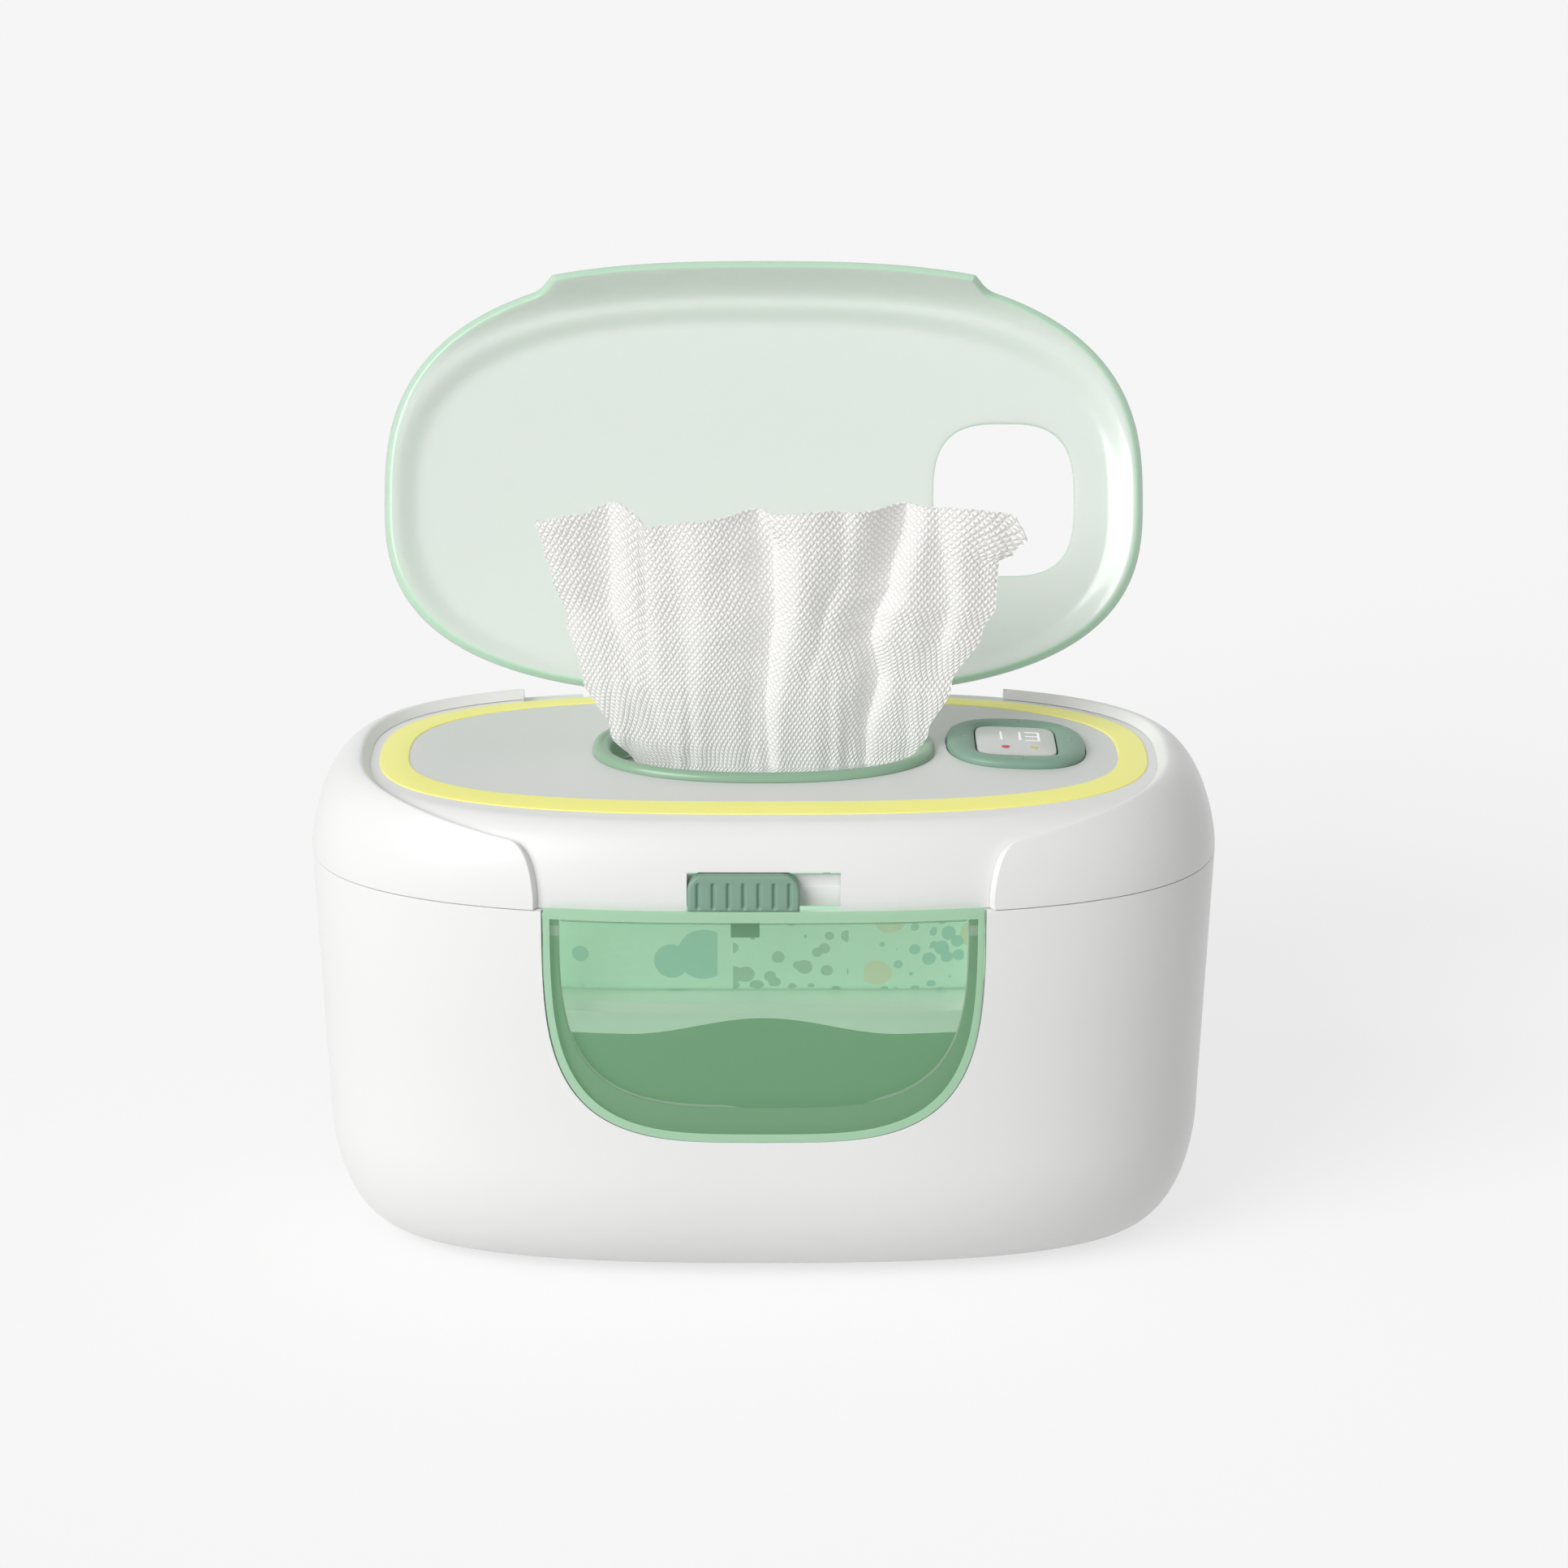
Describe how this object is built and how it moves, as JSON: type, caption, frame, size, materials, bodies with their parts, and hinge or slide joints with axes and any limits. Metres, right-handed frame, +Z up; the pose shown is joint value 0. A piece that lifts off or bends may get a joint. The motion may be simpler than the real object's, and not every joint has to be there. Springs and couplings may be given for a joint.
{
  "type": "baby wipe warmer",
  "caption": "Rounded countertop wipe warmer with a front window, hinged cover, flip lid over an oval wipe outlet, slide catch, key ring and light ring.",
  "frame": {"origin": "middle of the face it rests on, under the middle of the body", "axes": "+X right, +Y to the back, +Z up; the front window and the slide catch face -Y"},
  "size_m": [0.24, 0.1729, 0.2426],
  "materials": {
    "body_white": "satin moulded white",
    "deck_grey": "fine satin pale grey",
    "lid_pale_green": "satin, lightly translucent pale green",
    "window_green": "clear green tinted plastic",
    "sage_green": "satin sage green",
    "lip_green": "satin light sage green",
    "ring_yellow": "diffusing pale yellow",
    "bin_white": "satin off-white",
    "guard_green": "satin mid green",
    "lens_grey": "smoked pale lens",
    "seal_silicone": "matt silicone",
    "seal_dark": "matt",
    "foot_rubber": "matt",
    "steel": "bright",
    "aluminium": "plain sheet",
    "film_amber": "amber film",
    "foam": "felted insulation",
    "board_green": "solder mask",
    "part_black": "moulded black",
    "ceramic_tan": "moulded tan",
    "led_white": "white strip",
    "pack_film": "printed film, pale green",
    "wipe_cloth": "embossed nonwoven"
  },
  "bodies": {
    "base": {"body_shell": "body_white", "base_plate": "deck_grey", "foot_pads": "foot_rubber", "base_screws": "steel", "front_window": "window_green", "window_gasket": "seal_dark", "front_guard": "guard_green", "inner_bin": "bin_white", "heat_spreader": "aluminium", "heater_film": "film_amber", "insulation_pad": "foam", "thermal_cutoff": "ceramic_tan", "power_board": "board_green", "board_parts": "part_black", "dc_socket": "part_black", "cover_hinge_pins": "steel", "lift_springs": "steel"},
    "lift": {"lift_plate": "bin_white", "wipe_pack": "pack_film"},
    "top_cover": {"top_shell": "body_white", "deck_panel": "deck_grey", "light_ring": "ring_yellow", "led_strip": "led_white", "outlet_rim": "lip_green", "outlet_seal": "seal_silicone", "cover_liner": "bin_white", "liner_screws": "steel", "display_lens": "lens_grey", "display_board": "board_green", "key_domes": "part_black", "catch_plate": "deck_grey", "hinge_cradle": "body_white", "lid_hinge_pin": "steel", "wipe_sheet": "wipe_cloth"},
    "flip_lid": {"flip_lid": "lid_pale_green"},
    "slider": {"slide_button": "sage_green"},
    "key_ring": {"control_ring": "sage_green"}
  },
  "joints": [
    {"name": "flip_lid_hinge", "type": "hinge", "parent": "top_cover", "child": "flip_lid", "pos_m": [0, 0.0576, 0.1256], "axis": [1, 0, 0], "range_deg": [0, 111], "deforming": ["wipe_sheet"]},
    {"name": "cover_hinge", "type": "hinge", "parent": "base", "child": "top_cover", "pos_m": [0, 0.0708, 0.108], "axis": [-1, 0, 0], "range_deg": [0, 80]},
    {"name": "latch_slide", "type": "slide", "parent": "top_cover", "child": "slider", "axis": [1, 0, 0], "range_m": [0, 0.0103]},
    {"name": "lift_plate_slide", "type": "slide", "parent": "base", "child": "lift", "axis": [0, 0, 1], "range_m": [-0.012, 0], "stiffness_N_per_m": 320, "springref_m": 0.03, "deforming": ["lift_springs"]},
    {"name": "key_ring_press", "type": "slide", "parent": "top_cover", "child": "key_ring", "axis": [0, 0, -1], "range_m": [0, 0.0008], "stiffness_N_per_m": 900, "springref_m": -0.0008}
  ]
}
